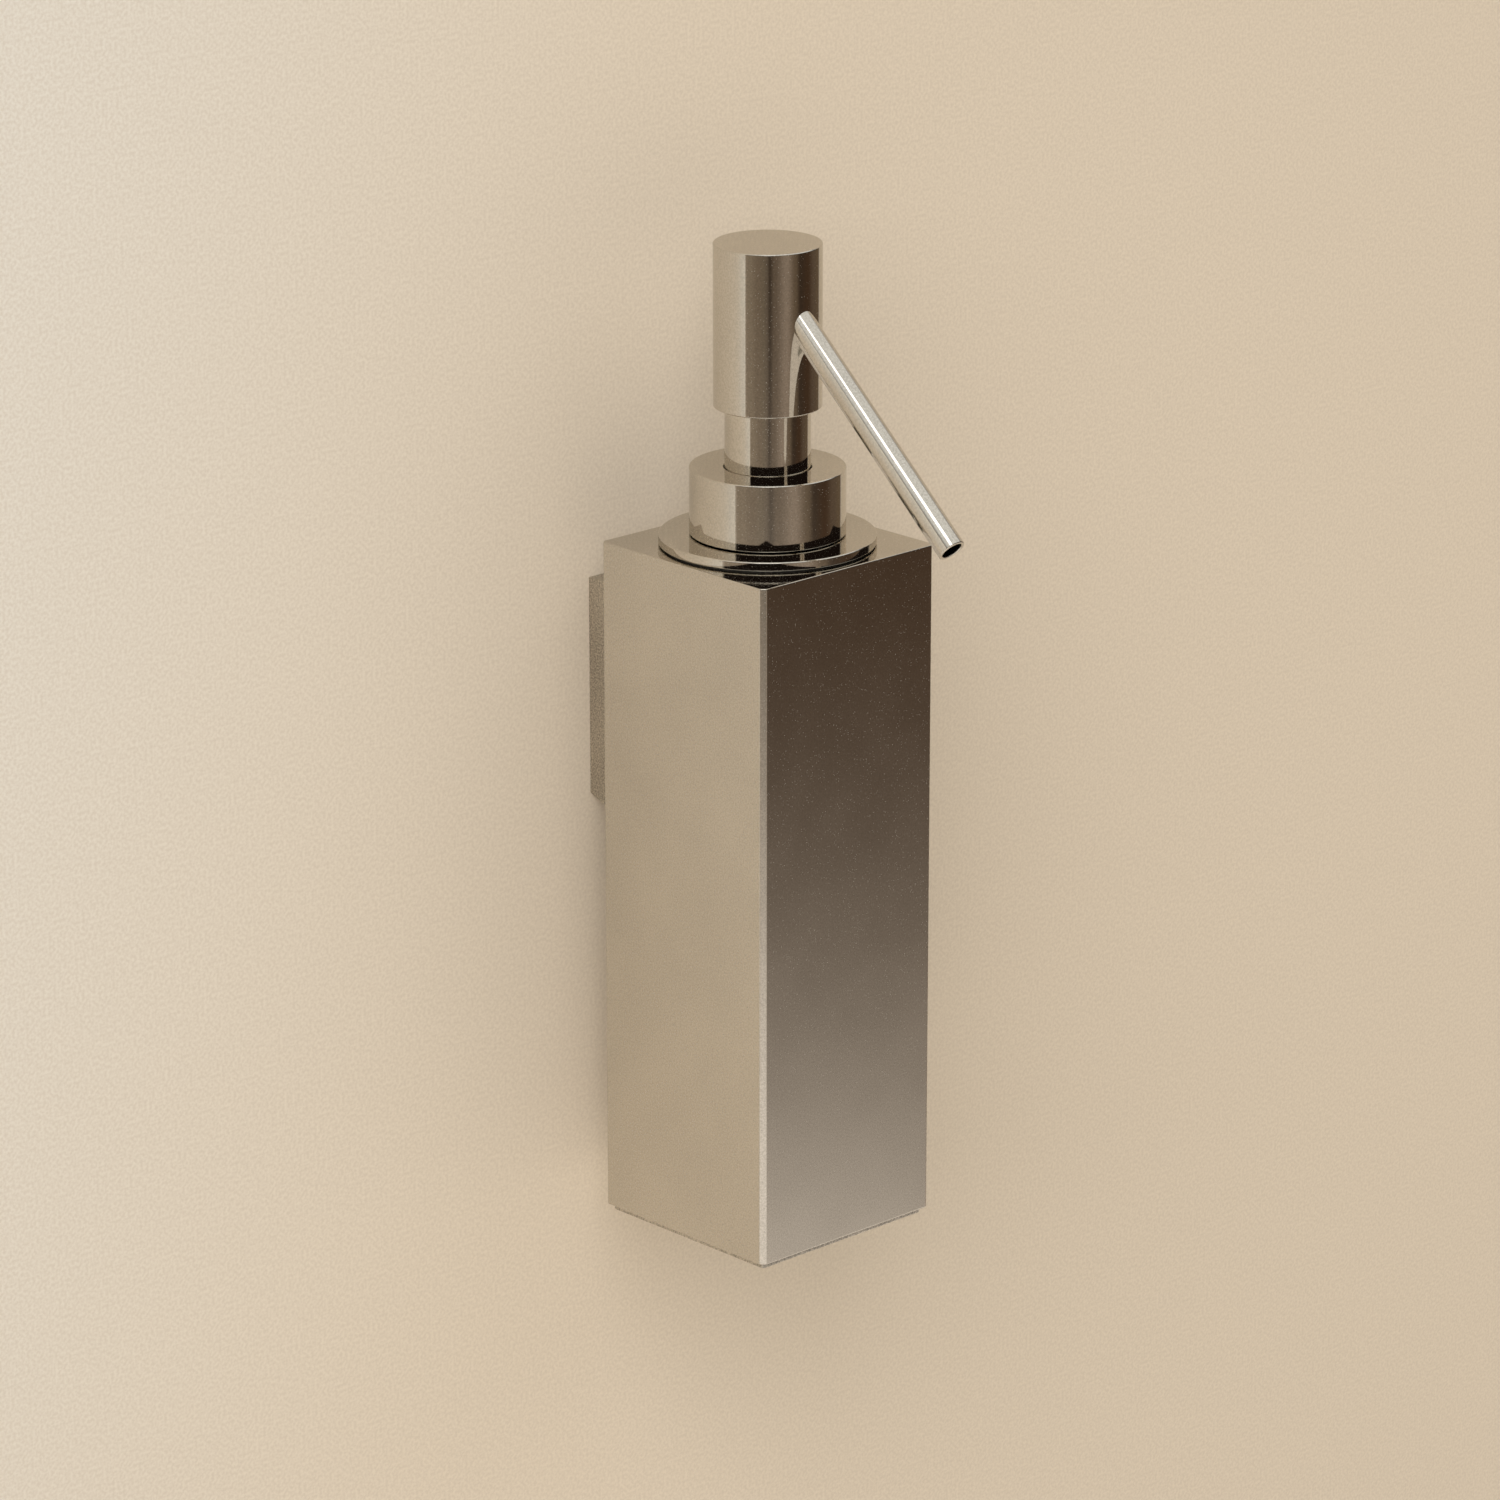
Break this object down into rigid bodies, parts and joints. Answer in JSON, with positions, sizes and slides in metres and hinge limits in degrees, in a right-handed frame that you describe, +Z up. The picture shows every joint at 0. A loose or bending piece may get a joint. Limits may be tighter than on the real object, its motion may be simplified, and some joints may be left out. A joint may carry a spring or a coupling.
{
  "type": "wall mounted soap dispenser",
  "caption": "Square metal wall dispenser with a lift-out bottle and a hand pump whose straight slanted spout delivers soap when the round head is pressed.",
  "frame": {"origin": "centre of the wall plate's back face, on the wall", "axes": "+Z up, -Y out from the wall towards the user, +X to the right seen from the front"},
  "size_m": [0.05, 0.0967, 0.2164],
  "materials": {
    "polished_nickel": "polished warm nickel",
    "brushed_nickel": "fine satin warm nickel",
    "bracket_steel": "plain steel",
    "fastener_steel": "bright stainless",
    "bottle_plastic": "natural milky plastic",
    "pump_plastic": "moulded natural plastic",
    "piston_plastic": "soft moulded plastic",
    "tube_plastic": "translucent extruded plastic",
    "seal_rubber": "dark seal"
  },
  "bodies": {
    "wall_body": {"wall_plate": "bracket_steel", "mount_block": "brushed_nickel", "backing_plate": "bracket_steel", "block_screws": "fastener_steel", "locking_screw": "fastener_steel", "body_shell": "polished_nickel", "base_plate": "brushed_nickel"},
    "bottle_insert": {"bottle": "bottle_plastic", "flange_ring": "polished_nickel", "flange_gasket": "seal_rubber"},
    "pump_unit": {"pump_housing": "pump_plastic", "neck_gasket": "seal_rubber", "stem_guide": "pump_plastic", "neck_sleeve": "polished_nickel", "dip_tube": "tube_plastic", "return_spring": "fastener_steel", "ball_retainer": "pump_plastic"},
    "collar_ring": {"collar": "polished_nickel", "collar_liner": "pump_plastic"},
    "plunger": {"stem": "pump_plastic", "piston": "piston_plastic", "stem_plug": "pump_plastic"},
    "head": {"head_shell": "polished_nickel", "actuator_core": "pump_plastic", "spout_tube": "polished_nickel"},
    "inlet_valve": {"inlet_ball": "fastener_steel"},
    "outlet_valve": {"outlet_ball": "fastener_steel"}
  },
  "joints": [
    {"name": "insert_lift", "type": "slide", "parent": "wall_body", "child": "bottle_insert", "axis": [0, 0, 1], "range_m": [0, 0.15]},
    {"name": "pump_lift", "type": "slide", "parent": "bottle_insert", "child": "pump_unit", "axis": [0, 0, 1], "range_m": [0, 0.155]},
    {"name": "collar_turn", "type": "hinge", "parent": "pump_unit", "child": "collar_ring", "pos_m": [0, -0.04, 0], "axis": [0, 0, 1], "range_deg": [0, 450]},
    {"name": "pump_stroke", "type": "slide", "parent": "pump_unit", "child": "plunger", "axis": [0, 0, -1], "range_m": [0, 0.012], "stiffness_N_per_m": 800, "springref_m": -0.008, "deforming": ["return_spring"]},
    {"name": "head_swivel", "type": "hinge", "parent": "plunger", "child": "head", "pos_m": [0, -0.04, 0], "axis": [0, 0, 1], "range_deg": [-125, 125]},
    {"name": "inlet_ball_lift", "type": "slide", "parent": "pump_unit", "child": "inlet_valve", "axis": [0, 0, 1], "range_m": [0, 0.0012]},
    {"name": "outlet_ball_lift", "type": "slide", "parent": "plunger", "child": "outlet_valve", "axis": [0, 0, 1], "range_m": [0, 0.0012]}
  ]
}
